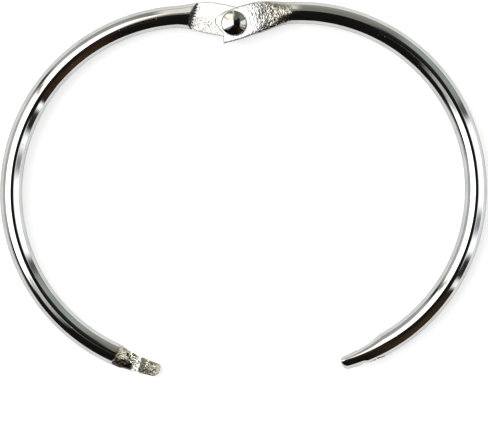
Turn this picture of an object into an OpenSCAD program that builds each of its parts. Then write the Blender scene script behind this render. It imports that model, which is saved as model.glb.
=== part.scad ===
// Hinged binder ring: two half rings of round wire, joined by one rivet through their flattened
// ears, with tips that snap into each other. Sizes are in millimetres.
//
// The ring lies flat. The origin is the centre of the left half's circle, in the middle of the
// wire, and +Z is the side of the rivet's head. The left half stays where it is and the right
// half swings about the rivet. Each half is drawn as the right half of the closed ring, with the
// rivet above its centre, and the left one is then turned over.

/* [Ring] */
// Inside diameter of the closed ring
ring_inner_d = 50.8; // [38:0.1:76]
// Diameter of the round wire
wire_d = 3.4; // [3:0.1:4]

/* [Stance] */
// Angle by which the right half is swung open
open_angle = 36.8; // [15:0.1:120]
// Angle by which the left half leans over about the ring's axis
lean = 15.2; // [0:0.1:40]

/* [Ears] */
// Width of the flattened ear
ear_w = 4.9; // [4.4:0.1:5.6]
// Height of the ear's outer face above the middle of the wire
ear_h = 1.6; // [1.2:0.05:1.7]
// How far the ear reaches past the rivet
ear_nose = 2.6; // [2.3:0.05:3.4]
// Distance from the rivet to which the ear's outer face stays flat
ear_flat_to = 5.4; // [3:0.1:7]
// Distance from the rivet at which the ear starts to narrow towards the wire
ear_narrows_at = 3.3; // [1:0.1:5]
// Distance from the rivet at which the wire is round again
wire_round_at = 9.2; // [8.5:0.1:12]
// Distance from the rivet to the foot of the shoulder, where the other ear's room ends
shoulder_at = 6; // [5:0.1:8]
// How far the shoulder's face slopes back over half the wire's thickness
shoulder_run = 0.8; // [0.3:0.05:1.5]
// Pitch of the fine flutes that the press leaves on the shoulder
flute_pitch = 0.32; // [0.25:0.01:0.6]
// Depth of those flutes
flute_depth = 0.1; // [0.04:0.01:0.15]
// How far the left half's rivet hole lies outside the middle of the wire
left_hole_out = -0.15; // [-0.4:0.05:0.4]
// How far the right half's rivet hole lies outside the middle of the wire
right_hole_out = 0.25; // [-0.4:0.05:0.4]

/* [Sheared end of the front ear] */
// Radius of the nose
nose_r = 0.9; // [0.5:0.05:1.1]
// Distance from the ear's outer edge in to the nose
nose_in = 0.25; // [0.1:0.05:0.5]
// How far the dip beside the nose is set back from the ear's end
dip_back = 0.57; // [0.2:0.01:0.8]
// Distance of the dip from the ear's middle, towards the inside of the ring
dip_in = 0.65; // [0.4:0.05:1.2]
// Distance past the rivet at which the ear has its full width again on its outer edge
full_width_at = 0.8; // [0:0.1:2]
// How far the sharp corner lies in from the ear's inner edge
corner_in = 0.35; // [0.05:0.05:0.8]

/* [Rivet] */
// Diameter of the crowned head
head_d = 3.85; // [3.2:0.05:4.6]
// Height of the crowned head
head_h = 0.95; // [0.8:0.05:1.6]
// Height of the head's straight side
head_side = 0.3; // [0.25:0.05:0.4]
// Radius that rolls the head's side over into its crown
head_round = 0.25; // [0.1:0.05:0.35]
// Diameter of the shank
shank_d = 2.2; // [1.6:0.05:2.6]
// Diameter of the tail, where it is peened over the back ear
tail_d = 3; // [2.8:0.05:3.6]
// Height of the peened tail
tail_h = 0.4; // [0.2:0.05:0.6]

/* [Snap tips] */
// How far each tip reaches past the middle of the closed joint
tip_past = 3.4; // [3:0.05:4.2]
// How far the closed joint lies to the left of the point opposite the rivet
joint_off = 0.4; // [-1:0.05:1]
// Thickness of the web that is left under the notch
web_t = 1; // [0.8:0.05:1.2]
// Lean of the hook's catching face
hook_lean = 20; // [0:1:30]
// Radius that carries the hook's flat top down to the blunt end
hook_round = 1.8; // [1:0.05:1.9]
// Radius of the fillet at the foot of the catching face
foot_round = 0.3; // [0.1:0.05:0.6]
// Half width of the tip on the ring's outer side
tip_out = 1.5; // [1.2:0.05:1.7]
// Half width of the tip on the ring's inner side, where it is pressed narrower
tip_in = 0.6; // [0.4:0.05:1.2]
// Length over which the inner side narrows to the tip
taper_len = 6.6; // [4:0.1:9]
// Distance from the tip's end to the small step on the ring's outer side
tip_step_at = 3.6; // [2:0.1:5]
// Length over which the tip's end is rounded off, seen from the front
tip_round = 0.8; // [0.4:0.05:1.2]
// Share of the tip's width that is left at its very end
end_share = 0.3; // [0.2:0.05:0.6]

/* [Fits] */
// Gap between the mating faces of the two ears
ear_gap = 0.06; // [0.02:0.01:0.2]
// Gap between the rivet's head and the front ear
head_gap = 0.04; // [0.02:0.01:0.1]
// Radial clearance of the shank in the swinging ear
swing_fit = 0.05; // [0.02:0.01:0.1]
// Play between the two catching faces when the ring is shut
catch_gap = 0.8; // [0.1:0.05:1]
// Gap between a hook's flat top and the other half's web when the ring is shut
hook_gap = 0.2; // [0.05:0.05:0.4]
// Gap between a tip's end and the other half's shoulder when the ring is shut
end_gap = 0.35; // [0.2:0.05:0.8]

/* [Hidden] */

wire_r = wire_d / 2;
ring_r = ring_inner_d / 2 + wire_r;
hinge = [0, ring_r + left_hole_out, 0];
mate_z = ear_gap / 2;
web_z = wire_r - web_t;
hook_z = hook_gap - web_z;
tip_len = tip_round + taper_len;

// longer than anything that is cut
reach = 3 * wire_d;
// how square the upper half of the flattened ear's cross-section is, from 1 for half an ellipse
// to 0 for half a rectangle
ear_power = 0.3;
// height left at the tip's very end, as a share of the wire's
end_height = 0.88;
// half the length over which the small step on the tip blends in
step_blend = 0.4;

// points round a cross-section, and spacing of the cross-sections along the wire
section_points = 40;
station = 0.45;
// how far the shaped ends run on inside the plain wire, and how much slimmer they are from where
// they enter it
overlap = 0.4;
overlap_slimmer = 0.02;
$fn = 144;

// share of the way from a to b, at an even rate
function even(s, a, b) = max(0, min(1, (s - a) / (b - a)));

// share of the way from a to b, easing in and out
function eased(s, a, b) =
    let (t = even(s, a, b))
    t * t * (3 - 2 * t);

// height of a quarter circle of radius 1 at a share of the way along it
function quarter(t) = sqrt(1 - pow(1 - t, 2));

function mix(a, b, t) = a + (b - a) * t;

// angle at the ring's centre of a distance along the middle of the wire
function turn(s) = s * 180 / (PI * ring_r);

// how far the middle of the wire has dropped at a distance from the ear's top
function drop(s) = ring_r * (1 - cos(turn(s)));

// a power that keeps the sign, which squares off an ellipse when p is under 1
function signed_pow(x, p) = sign(x) * pow(abs(x), p);

// point where a line from p touches a circle, on the side that turns left (1) or right (-1)
function tangent_point(p, centre, r, side) =
    let (
        to_centre = centre - p,
        far = norm(to_centre),
        heading = atan2(to_centre[1], to_centre[0]) + side * asin(r / far)
    )
    p + sqrt(far * far - r * r) * [cos(heading), sin(heading)];

// ring of points round the wire, at an angle clockwise from the rivet, with its upper half squared
// off by the power p
function section(angle, out_w, in_w, upper_h, lower_h, p) = [
    for (i = [0 : section_points - 1])
        let (
            t = 360 * i / section_points,
            upper = t < 180,
            c = signed_pow(cos(t), upper ? p : 1),
            z = upper ? upper_h * pow(sin(t), p) : lower_h * sin(t),
            radius = ring_r + (c > 0 ? out_w : in_w) * c
        )
        [radius * sin(angle), radius * cos(angle), z]
];

// cross-section just inside the plain wire
function inner_section(angle) =
    let (r = wire_r - overlap_slimmer)
    section(angle, r, r, r, r, 1);

// cross-section of the ear, flat at the rivet and round again at wire_round_at
function ear_section(s) =
    let (
        narrowing = eased(s, ear_narrows_at, wire_round_at),
        rounding = eased(s, ear_flat_to, wire_round_at),
        half_w = mix(ear_w / 2, wire_r, narrowing),
        upper_h = mix(ear_h, wire_r, rounding)
    )
    section(turn(s), half_w, half_w, upper_h, wire_r, mix(ear_power, 1, rounding));

// cross-section of the tip at a distance from its end, for a tip that ends at an angle
function tip_section(e, end_angle) =
    let (
        end = quarter(even(e, 0, tip_round)),
        width = mix(end_share, 1, end),
        out_w = mix(tip_out, wire_r, eased(e, tip_step_at - step_blend, tip_step_at + step_blend)),
        in_w = mix(tip_in, wire_r, even(e, tip_round, tip_len)),
        half_h = mix(end_height, 1, end) * wire_r
    )
    section(end_angle - turn(e), width * out_w, width * in_w, half_h, half_h, 1);

// solid through a row of cross-sections, each end closed by a fan of faces about its middle
module loft(sections) {
    n = len(sections[0]);
    last = len(sections) - 1;
    first_middle = (sections[0][0] + sections[0][n / 2]) / 2;
    last_middle = (sections[last][0] + sections[last][n / 2]) / 2;
    middles_at = n * (last + 1);
    polyhedron(
        points = [for (ring = sections) each ring, first_middle, last_middle],
        faces = [
            for (i = [0 : n - 1])
                let (next = (i + 1) % n)
                each [[i, next, middles_at], [last * n + next, last * n + i, middles_at + 1]],
            for (j = [0 : last - 1], i = [0 : n - 1])
                let (a = j * n + i, b = j * n + (i + 1) % n)
                each [[a, a + n, b + n], [a, b + n, b]]
        ],
        convexity = 4
    );
}

// extrudes a profile, drawn as length and height, across the wire
module across(width) {
    rotate([90, 0, 0])
        linear_extrude(width, center = true)
            children();
}

// flattened ear with its blend into the wire, before anything is cut from it
module ear_blank() {
    from = -ear_nose - station;
    steps = ceil((wire_round_at - from) / station);
    loft([
        for (i = [0 : steps - 1]) ear_section(mix(from, wire_round_at, i / steps)),
        inner_section(turn(wire_round_at)),
        inner_section(turn(wire_round_at + overlap))
    ]);
}

// the stretch of plain round wire, for a tip that ends at an angle
module wire_arc(end_angle) {
    from = turn(wire_round_at);
    to = end_angle - turn(tip_len);
    rotate_extrude(angle = to - from, start = 90 - to)
        translate([ring_r, 0])
            circle(wire_r, $fn = section_points);
}

// narrowed tip, before the hook and the notch are cut
module tip_blank(end_angle) {
    steps = ceil(taper_len / station);
    end_steps = 6;
    loft([
        inner_section(end_angle - turn(tip_len + overlap)),
        inner_section(end_angle - turn(tip_len)),
        for (i = [1 : steps]) tip_section(mix(tip_len, tip_round, i / steps), end_angle),
        for (i = [end_steps - 1 : -1 : 0]) tip_section(tip_round * pow(i / end_steps, 2), end_angle)
    ]);
}

// room under the ear for the other one, as far as the sloping shoulder
module ear_room() {
    slope = shoulder_run / wire_r;
    translate([0, ring_r, 0])
        across(2 * ear_w)
            polygon([
                [-reach, mate_z],
                [shoulder_at, mate_z],
                [shoulder_at + slope * reach, mate_z - reach],
                [-reach, mate_z - reach]
            ]);
}

// fine flutes down the shoulder's face
module shoulder_flutes() {
    half = floor(wire_r / flute_pitch);
    above = flute_depth / 4;
    for (i = [-half : half])
        translate([shoulder_at, ring_r - drop(shoulder_at) + i * flute_pitch, mate_z])
            rotate([0, 180 - atan(shoulder_run / wire_r), 0])
                translate([0, 0, -above])
                    cylinder(r = flute_depth, h = 2 * wire_d, $fn = 4);
}

// plan of the front ear's sheared end: a sharp inner corner, a dip, and a rounded nose
module sheared_end() {
    side = ear_w / 2;
    nose = [nose_r - ear_nose, side - nose_in - nose_r];
    dip = [dip_back - ear_nose, -dip_in];
    edge = [full_width_at, side + nose_in];
    polygon([
        [-ear_nose, corner_in - side],
        dip,
        tangent_point(dip, nose, nose_r, 1),
        nose,
        tangent_point(edge, nose, nose_r, -1),
        edge,
        [0, -side]
    ]);
    translate(nose)
        circle(nose_r);
}

// plan of the back ear's end, rounded about the rivet
module rounded_end() {
    circle(ear_w / 2);
}

// keeps the ear within the plan of its end
module ear_end_plan(sheared) {
    translate([0, ring_r, -reach])
        linear_extrude(2 * reach) {
            if (sheared) sheared_end();
            else rounded_end();
            translate([0, -ear_w])
                square([wire_round_at + reach, 2 * ear_w]);
        }
}

// profile of the hook: catching face, flat top, rounded end and the fillet at its foot
module hook_profile() {
    foot = -catch_gap / 2;
    top = foot - tan(hook_lean) * (web_z - hook_z);
    round_x = hook_round - tip_past;
    fillet = foot_round * tan(45 - hook_lean / 2);
    fillet_centre = [foot + fillet, web_z - foot_round];
    polygon([[round_x, wire_d], [round_x, hook_z], [top, hook_z], [foot, web_z], [foot, wire_d]]);
    translate([round_x, hook_z + hook_round])
        intersection() {
            circle(hook_round);
            translate([-reach, -reach])
                square([reach, 2 * reach]);
        }
    difference() {
        polygon([
            [foot, wire_d],
            [foot + fillet, wire_d],
            fillet_centre,
            [foot - fillet * sin(hook_lean), web_z - fillet * cos(hook_lean)]
        ]);
        translate(fillet_centre)
            circle(foot_round);
    }
}

// profile of the ramp that rises from the notch's floor to the shoulder
module ramp_profile() {
    ramp_r = web_z + wire_r;
    translate([tip_past + end_gap - ramp_r, -wire_r])
        difference() {
            square([ramp_r + wire_r, 2 * ramp_r]);
            circle(ramp_r);
        }
}

// what the press takes from the tip to leave the hook and the notch, as length and height
module snap_cut() {
    difference() {
        union() {
            translate([-reach, web_z - reach])
                square([reach + tip_past + end_gap, reach]);
            translate([-reach, hook_z + hook_round - reach])
                square([reach - tip_past + hook_round, reach]);
        }
        hook_profile();
        ramp_profile();
    }
}

// one half ring, on the right of the closed ring, with its ear's outer face at the front
module half_ring(sheared, hole_out, hole_r, joint_turn) {
    end_angle = 180 + turn(tip_past) + joint_turn;
    difference() {
        union() {
            intersection() {
                ear_blank();
                ear_end_plan(sheared);
            }
            wire_arc(end_angle);
            tip_blank(end_angle);
        }
        ear_room();
        shoulder_flutes();
        translate([0, ring_r + hole_out, 0])
            cylinder(r = hole_r, h = 4 * ear_h, center = true);
        rotate(-joint_turn)
            translate([0, -ring_r, 0])
                across(4 * wire_d)
                    snap_cut();
    }
}

// dome of a given width and height, standing on the origin
module dome(d, h) {
    r = (d * d / 4 + h * h) / (2 * h);
    rotate_extrude($fn = 48)
        intersection() {
            translate([0, h - r])
                circle(r);
            square([d, h]);
        }
}

// rivet's head of a given width and height, standing on the origin: a straight side, a roll and a
// crown that the roll runs into
module crowned_head(d, h, side, roll) {
    inset = d / 2 - roll;
    rise = h - side;
    r = (inset * inset + rise * rise - roll * roll) / (2 * (rise - roll));
    rotate_extrude($fn = 48) {
        square([d / 2, side]);
        translate([inset, side])
            intersection() {
                circle(roll);
                square(roll);
            }
        intersection() {
            translate([0, h - r])
                circle(r);
            polygon([[0, 0], [inset, 0], [inset, side], 2 * [inset, side] - [0, h - r], [0, 2 * h]]);
        }
    }
}

module left_arm() {
    color([0.74, 0.76, 0.77])
        rotate(-lean)
            rotate([0, 180, 0])
                half_ring(
                    sheared = false,
                    hole_out = left_hole_out,
                    hole_r = shank_d / 2,
                    joint_turn = -turn(joint_off)
                );
}

module right_arm() {
    color([0.8, 0.81, 0.82])
        rotate(-lean)
            translate(hinge)
                rotate(open_angle)
                    translate([0, -ring_r - right_hole_out, 0])
                        half_ring(
                            sheared = true,
                            hole_out = right_hole_out,
                            hole_r = shank_d / 2 + swing_fit,
                            joint_turn = turn(joint_off)
                        );
}

module hinge_rivet() {
    head_z = ear_h + head_gap;
    color([0.87, 0.87, 0.84])
        rotate(-lean)
            translate(hinge) {
                translate([0, 0, head_z])
                    crowned_head(head_d, head_h, head_side, head_round);
                translate([0, 0, -ear_h])
                    cylinder(d = shank_d, h = head_z + ear_h);
                translate([0, 0, -ear_h])
                    rotate([180, 0, 0])
                        dome(tail_d, tail_h);
            }
}

left_arm();
right_arm();
hinge_rivet();
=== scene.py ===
"""Hinged binder ring: two plated half rings of round wire, joined by one domed rivet."""

import logging
import math
from collections.abc import Callable
from dataclasses import dataclass, field, fields
from enum import Enum
from functools import reduce
from typing import ClassVar

import bmesh
import bpy
import numpy as np
from mathutils import Matrix, Vector

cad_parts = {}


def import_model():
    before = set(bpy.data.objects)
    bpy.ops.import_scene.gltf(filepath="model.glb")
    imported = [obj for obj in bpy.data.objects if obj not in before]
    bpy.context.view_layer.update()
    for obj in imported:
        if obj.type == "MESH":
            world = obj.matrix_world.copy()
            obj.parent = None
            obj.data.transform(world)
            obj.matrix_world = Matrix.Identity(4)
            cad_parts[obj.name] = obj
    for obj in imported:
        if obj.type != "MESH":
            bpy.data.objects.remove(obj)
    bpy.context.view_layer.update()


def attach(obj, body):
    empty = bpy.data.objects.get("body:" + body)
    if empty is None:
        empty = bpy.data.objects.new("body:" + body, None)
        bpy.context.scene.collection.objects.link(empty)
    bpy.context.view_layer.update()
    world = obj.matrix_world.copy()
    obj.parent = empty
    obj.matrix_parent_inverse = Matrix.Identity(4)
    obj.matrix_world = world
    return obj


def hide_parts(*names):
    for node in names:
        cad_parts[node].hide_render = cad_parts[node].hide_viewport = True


MM = 0.001
LOG = logging.getLogger("binder_ring")

# points over a cross-section's rounded part and along its flat underside
ARC_POINTS = 97
FLAT_POINTS = 92
# nearer than this, two points of a mesh are one
WELD = 2e-7
SHARP_ANGLE = math.radians(34)
# a length in millimetres that counts as nothing
TINY = 1e-6
# rounds in which a cross-section's points find their place along the bent wire
SETTLING = 5
# points that a cross-section's outline is first measured with
FINE_POINTS = 1201
# the lowest rise of a direction that still looks at the ceiling
LOWEST_RISE = 0.02

Colour = tuple[float, float, float]
# where something starts, and where it is complete
Span = tuple[float, float]


def even(at: float, start: float, end: float) -> float:
    """Share of the way from start to end, at an even rate.

    Args:
        at: Where it is measured, a number or an array.
        start: Where the share is 0.
        end: Where the share is 1.

    Returns:
        The share, kept between 0 and 1.
    """
    return np.clip((at - start) / (end - start), 0.0, 1.0)


def eased(at: float, start: float, end: float) -> float:
    """Share of the way from start to end, easing in and out.

    Args:
        at: Where it is measured, a number or an array.
        start: Where the share is 0.
        end: Where the share is 1.

    Returns:
        The share, kept between 0 and 1.
    """
    share = even(at, start, end)
    return share * share * (3 - 2 * share)


def between(at: float, start: Span, end: Span) -> float:
    """Share that eases in over the start's span and out again over the end's."""
    return eased(at, *start) * (1 - eased(at, *end))


def mix(first: float, second: float, share: float) -> float:
    """The value at a share of the way from first to second."""
    return first + (second - first) * share


def tangent_point(point: np.ndarray, centre: np.ndarray, radius: float, side: int) -> np.ndarray:
    """Point where a line from a point touches a circle.

    Args:
        point: Where the line starts.
        centre: The circle's centre.
        radius: The circle's radius.
        side: 1 where the line turns left to touch it, -1 where it turns right.

    Returns:
        The point of contact.
    """
    to_centre = centre - point
    far = math.hypot(*to_centre)
    heading = math.atan2(to_centre[1], to_centre[0]) + side * math.asin(radius / far)
    reach = math.sqrt(far * far - radius * radius)
    return point + reach * np.array([math.cos(heading), math.sin(heading)])


def cross_section(
    power: float, floor: float, half_w: float, upper: float, lower: float
) -> tuple[np.ndarray, np.ndarray]:
    """Outline of a cross-section, whose rounded part ends where a flat underside cuts it.

    Args:
        power: How square the upper half is, from 1 for half an ellipse to 0 for half a rectangle.
        floor: Height of the flat underside.
        half_w: Half the width.
        upper: Height of the upper half.
        lower: Height of the lower half, which is half an ellipse.

    Returns:
        The widths as shares of half_w, and the heights. The rounded part runs from the outer side
        to the inner, and the flat one back.
    """
    start = math.asin(max(floor / lower, -1.0))
    if power == 1 and upper == lower:
        angle = np.linspace(start, math.pi - start, ARC_POINTS)
        share, height = np.cos(angle), np.sin(angle) * upper
    else:
        exponent = 2 / power

        def outline(angle: np.ndarray) -> np.ndarray:
            """Points of the whole outline.

            Args:
                angle: Angles round its middle.

            Returns:
                Rows of the width as a share and the height.
            """
            cos, sin = np.cos(angle), np.sin(angle)
            size = (np.abs(cos) ** exponent + np.abs(sin) ** exponent) ** (-1 / exponent)
            size = np.where(sin > 0, size, 1.0)
            return np.stack([size * cos, size * sin * np.where(sin > 0, upper, lower)], 1)

        if floor > 0:
            rising = np.linspace(0, math.pi / 2, FINE_POINTS)
            start = float(np.interp(floor, outline(rising)[:, 1], rising))
        points = outline(np.linspace(start, math.pi - start, FINE_POINTS))
        step = np.diff(points * [half_w, 1.0], axis=0)
        length = np.hypot(step[:, 0], step[:, 1])
        heading = np.unwrap(np.arctan2(step[:, 1], step[:, 0]))
        bend = np.abs(np.diff(heading, append=heading[-1]))
        pace = np.cumsum(length / length.sum() + bend / bend.sum())
        pace = np.concatenate([[0.0], pace]) / pace[-1]
        spread = np.linspace(0, 1, ARC_POINTS)
        share, height = (np.interp(spread, pace, column) for column in points.T)
    under = np.linspace(share[-1], share[0], FLAT_POINTS + 2)[1:-1]
    flat = np.full(FLAT_POINTS, max(floor, -lower))
    return np.concatenate([share, under]), np.concatenate([height, flat])


def rows_of(mesh: bpy.types.Mesh, name: str) -> np.ndarray:
    """Reads a vector that each point of a mesh has.

    Args:
        mesh: The mesh.
        name: The vector's name, such as co or normal.

    Returns:
        One row for each point.
    """
    values = np.zeros(len(mesh.vertices) * 3, np.float32)
    mesh.vertices.foreach_get(name, values)
    return values.reshape(-1, 3).astype(float)


def write(mesh: bpy.types.Mesh, name: str, values: np.ndarray) -> None:
    """Writes a named attribute of a mesh's points.

    Args:
        mesh: The mesh.
        name: The attribute's name.
        values: A number or a row of three for each point.
    """
    kind, key = ("FLOAT", "value") if values.ndim == 1 else ("FLOAT_VECTOR", "vector")
    made = mesh.attributes.new(name, kind, "POINT")
    made.data.foreach_set(key, values.astype(np.float32).ravel())


def linked(name: str, data: bpy.types.ID) -> bpy.types.Object:
    """Makes an object and puts it in the scene.

    Args:
        name: The object's name.
        data: Its mesh or camera.

    Returns:
        The object.
    """
    obj = bpy.data.objects.new(name, data)
    bpy.context.scene.collection.objects.link(obj)
    return obj


def applied(obj: bpy.types.Object, modifier: bpy.types.Modifier) -> bpy.types.Mesh:
    """Takes a modifier off an object and keeps what it made.

    Args:
        obj: The object.
        modifier: Its modifier.

    Returns:
        The plain mesh that the modifier gave.
    """
    view = bpy.context.evaluated_depsgraph_get()
    mesh = bpy.data.meshes.new_from_object(obj.evaluated_get(view), depsgraph=view)
    obj.modifiers.remove(modifier)
    return mesh


def replace_mesh(obj: bpy.types.Object, mesh: bpy.types.Mesh) -> None:
    """Gives an object a new mesh and drops the old one."""
    old, obj.data = obj.data, mesh
    bpy.data.meshes.remove(old)


def plate_mesh(mesh: bpy.types.Mesh, plate: bpy.types.Material) -> None:
    """Gives a mesh its finish, smooth faces and sharp edges.

    Args:
        mesh: The mesh.
        plate: The finish.
    """
    mesh.materials.clear()
    mesh.materials.append(plate)
    mesh.shade_smooth()
    mesh.set_sharp_from_angle(angle=SHARP_ANGLE)


class EarEnd(Enum):
    """How the end of an ear is cut."""

    ROUNDED = "rounded about the rivet"
    SHEARED = "sheared to a corner, a dip and a nose"


@dataclass(frozen=True)
class Wire:
    """Round wire, bent to the closed ring. Sizes in millimetres.

    Attributes:
        diameter: Of the wire.
        ring_inside: Inside diameter of the closed ring.
    """

    diameter: float = 3.4
    ring_inside: float = 50.8

    @property
    def radius(self) -> float:
        """Radius of the wire."""
        return self.diameter / 2

    @property
    def ring_radius(self) -> float:
        """Radius of the ring at the middle of the wire."""
        return self.ring_inside / 2 + self.radius

    def turn(self, length: float) -> float:
        """Angle in radians of a distance along the middle of the wire."""
        return length / self.ring_radius


@dataclass(frozen=True)
class Ear:
    """Flattened ear round the rivet, with its shoulder. Sizes in millimetres.

    Attributes:
        end: How its end is cut.
        width: Across the ear.
        height: Of its outer face above the middle of the wire.
        nose: How far it reaches past the rivet.
        flat_to: Where its outer face stops being flat.
        narrows_at: Where it starts to narrow.
        round_at: Where the wire is round again.
        shoulder_at: Foot of the shoulder.
        shoulder_run: How far the shoulder slopes back over half the wire's thickness.
        mate: Height of the flat face that the other ear turns on.
        squareness: Power of its cross-section.
        end_squareness: The same round the rivet, where the dies press hardest.
        squarest_to: Distance from the rivet up to which it has that power.
        flute_pitch: Pitch of the fine flutes down the shoulder.
        flute_depth: Depth of those flutes.
        flute_sides: Shares of the pitch, from a flute's middle, where its side and its floor start.
        flute_end: Height from which the flutes run out towards the heel.
        flute_fade: Power with which they run out towards the ear's edges.
        nose_radius: Radius of the nose of the end that the shear cut.
        nose_in: Distance from the outer edge in to the nose.
        dip_back: How far the dip is set back from the end.
        dip_in: How far the dip lies inside the ear's middle.
        full_width_at: Where the outer edge has its full width again.
        corner_in: How far the sharp corner lies in from the inner edge.
        end_reach: How far past the rivet the end's outline still bends the cross-sections.
        straight: Over which distances the cross-sections start to turn with the wire.
        rim: Radius that the press left on the edges of the turning face.
        rim_fade: Length over which that radius runs out at the shoulder.
        end_roll: Radius that the shear left on the outer face's end.
        end_points: Points round a rounded end.
        nose_points: Points round a sheared end's nose.
        stations: Cross-sections over the rolled end, the face, the shoulder and the heel.
    """

    end: EarEnd
    width: float = 4.9
    height: float = 1.6
    nose: float = 2.6
    flat_to: float = 5.4
    narrows_at: float = 3.3
    round_at: float = 9.2
    shoulder_at: float = 6.0
    shoulder_run: float = 0.8
    mate: float = 0.03
    squareness: float = 0.3
    end_squareness: float = 0.14
    squarest_to: float = 1.0
    flute_pitch: float = 0.46
    flute_depth: float = 0.3
    flute_sides: Span = (0.32, 0.16)
    flute_end: float = -0.8
    flute_fade: int = 8
    nose_radius: float = 0.9
    nose_in: float = 0.25
    dip_back: float = 0.57
    dip_in: float = 0.65
    full_width_at: float = 0.8
    corner_in: float = 0.35
    end_reach: float = 1.6
    straight: Span = (7.0, 9.2)
    rim: float = 0.2
    rim_fade: float = 0.5
    end_roll: float = 0.16
    end_points: int = 61
    nose_points: int = 41
    stations: tuple[int, int, int, int] = (6, 168, 17, 48)

    def end_line(self) -> np.ndarray:
        """Outline of the end as the ear's face shows it.

        Returns:
            Rows of the distance outwards from the ear's middle and the distance past the rivet.
        """
        side = self.width / 2
        if self.end is EarEnd.ROUNDED:
            around = np.linspace(-math.pi / 2, math.pi / 2, self.end_points)
            return np.stack([side * np.sin(around), -side * np.cos(around)], 1)
        nose = np.array([self.nose_radius - self.nose, side - self.nose_in - self.nose_radius])
        dip = np.array([self.dip_back - self.nose, -self.dip_in])
        corner = np.array([-self.nose, self.corner_in - side])
        edge = np.array([self.full_width_at, side + self.nose_in])
        below = tangent_point(dip, nose, self.nose_radius, 1)
        above = tangent_point(edge, nose, self.nose_radius, -1)
        lowest, highest = (math.atan2(*(p - nose)[::-1]) for p in (below, above))
        around = np.linspace(lowest % (2 * math.pi), highest, self.nose_points)
        rim = nose + self.nose_radius * np.stack([np.cos(around), np.sin(around)], 1)
        line = np.vstack([2 * corner - dip, corner, dip, rim, edge])
        return line[:, ::-1]

    def floor(self, along: float, wire: Wire) -> float:
        """Height of the underside at a distance along the ear.

        Args:
            along: Straight distance from the rivet.
            wire: The wire that the ear is pressed from.

        Returns:
            Height above the middle of the wire, or the wire's own underside past the shoulder.
        """
        slope = wire.radius / self.shoulder_run
        return self.mate - max(0.0, along - self.shoulder_at) * slope

    @staticmethod
    def rolled(distance: np.ndarray, radius: float) -> np.ndarray:
        """How far a rolled edge falls away at distances in from it."""
        short = radius - np.clip(distance, 0.0, radius)
        return radius - np.sqrt(radius**2 - short**2)

    def flutes(self, across: np.ndarray) -> np.ndarray:
        """How deep the flutes go into the shoulder.

        Args:
            across: Distances outwards from the ear's middle.

        Returns:
            The depths at those distances.
        """
        pitch = self.flute_pitch
        nearest = np.abs((across + pitch / 2) % pitch - pitch / 2)
        side, floor = self.flute_sides
        return self.flute_depth * even(nearest, pitch * side, pitch * floor)


@dataclass(frozen=True)
class SnapTip:
    """Narrowed tip with its hook and notch. Sizes in millimetres.

    Attributes:
        past: How far it reaches past the middle of the closed joint.
        web: Height of the web's underside above the middle of the wire.
        hook_top: Height of the hook's flat top.
        hook_lean: Lean of the catching face, in degrees.
        hook_round: Radius from the flat top to the blunt end.
        foot_round: Radius of the fillet at the foot of the catching face.
        outer: Half width on the ring's outer side.
        inner: Half width on the ring's inner side.
        taper: Length over which the inner side narrows.
        step_at: Distance from the end to the small step on the outer side.
        step_blend: Half the length over which that step blends in.
        rounding: Length over which the end is rounded off.
        end_share: Share of the width that is left at the very end.
        end_height: Share of the height that is left at the very end.
        straight_in: Distances from the joint over which the cross-sections stop fanning out.
        straight_out: Distances over which they start to turn with the wire again.
        neck: How far the tip's own cross-sections reach past the ramp.
        catch_gap: Play between the two catching faces of the shut ring.
        end_gap: Gap between the end and the other tip's shoulder.
        stations: Cross-sections over the blunt end, the hook's round, its flat top, the catching
            face, its foot, the web, the ramp and the neck.
    """

    past: float = 3.4
    web: float = 0.7
    hook_top: float = -0.5
    hook_lean: float = 20.0
    hook_round: float = 1.8
    foot_round: float = 0.3
    outer: float = 1.5
    inner: float = 0.6
    taper: float = 6.6
    step_at: float = 3.6
    step_blend: float = 0.4
    rounding: float = 0.8
    end_share: float = 0.3
    end_height: float = 0.88
    straight_in: Span = (-3.3, -2.4)
    straight_out: Span = (3.85, 5.3)
    neck: float = 1.85
    catch_gap: float = 0.8
    end_gap: float = 0.35
    stations: tuple[int, ...] = (12, 18, 12, 9, 7, 20, 30, 20)

    def corners(self) -> dict[str, float]:
        """Places along the joint where the notch changes its shape.

        Returns:
            Distances from the joint's middle, positive towards the wire.
        """
        lean = math.radians(self.hook_lean)
        foot = -self.catch_gap / 2
        fillet = self.foot_round * math.tan(math.pi / 4 - lean / 2)
        return {
            "rounding": self.hook_round - self.past,
            "top": foot - math.tan(lean) * (self.web - self.hook_top),
            "face": foot - fillet * math.sin(lean),
            "foot": foot + fillet,
        }

    def floor(self, along: float, wire: Wire) -> float:
        """Height of the underside at a distance along the joint.

        Args:
            along: Distance from the joint's middle, positive towards the wire.
            wire: The wire that the tip is pressed from.

        Returns:
            Height above the middle of the wire.
        """
        at = self.corners()
        lean = math.radians(self.hook_lean)
        ramp = self.web + wire.radius
        ramp_at = self.past + self.end_gap - ramp
        if along >= ramp_at:
            return math.sqrt(max(0.0, ramp**2 - (along - ramp_at) ** 2)) - wire.radius
        if along >= at["foot"]:
            return self.web
        if along >= at["face"]:
            drop = math.sqrt(max(0.0, self.foot_round**2 - (along - at["foot"]) ** 2))
            return self.web - self.foot_round + drop
        if along >= at["top"]:
            return self.hook_top + (along - at["top"]) / math.tan(lean)
        if along >= at["rounding"]:
            return self.hook_top
        fall = self.hook_round**2 - (along - at["rounding"]) ** 2
        return self.hook_top + self.hook_round - math.sqrt(max(0.0, fall))


# how a share changes, with what, and the measures at which it is 0 and 1
Step = tuple[Callable[..., np.ndarray], str, float, float]


def of(kind: str, none: float = 0.0, full: float = 1.0) -> Step:
    """Step that is the first number where an earlier kind is 0 and the second where it is 1."""
    return even, kind, -none / (full - none), (1 - none) / (full - none)


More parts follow.
